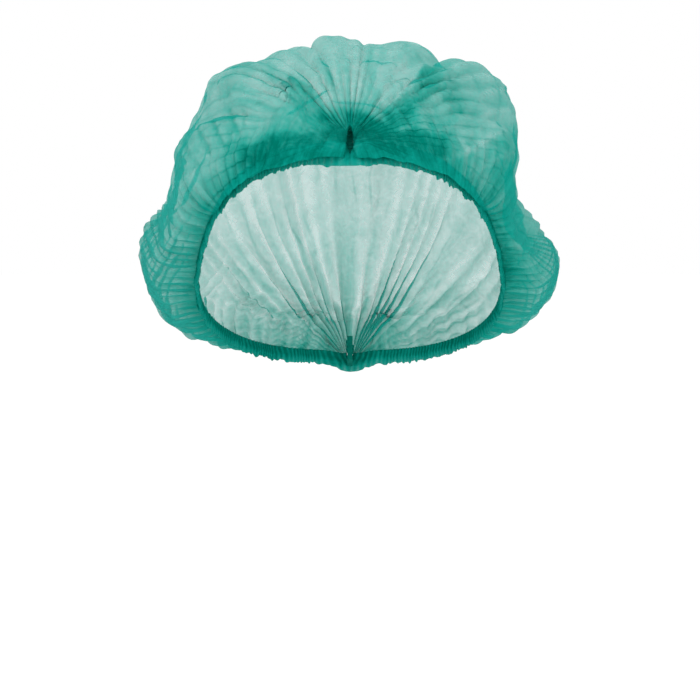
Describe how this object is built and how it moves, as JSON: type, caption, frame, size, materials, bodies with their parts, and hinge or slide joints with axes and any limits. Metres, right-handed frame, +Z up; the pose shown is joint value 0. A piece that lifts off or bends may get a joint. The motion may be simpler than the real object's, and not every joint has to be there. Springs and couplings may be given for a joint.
{
  "type": "disposable hair cover cap",
  "caption": "Puffed hair cover of thin pleated nonwoven cloth, welded front and back, with an elastic hem that holds it round the head.",
  "frame": {"origin": "middle of the head opening, halfway between the front weld and the nape weld", "axes": "+Z up, -Y the wearer's front, +X the wearer's left"},
  "size_m": [0.2194, 0.2291, 0.18],
  "materials": {
    "crown_cloth": "matt see-through spunbond nonwoven",
    "hem_cloth": "matt nonwoven, gathered several layers deep",
    "welded_cloth": "pressed and fused nonwoven, slightly glossy"
  },
  "bodies": {
    "root": {"crown": "crown_cloth", "right_hem": "hem_cloth", "left_hem": "hem_cloth", "front_weld": "welded_cloth", "back_weld": "welded_cloth"}
  },
  "joints": []
}
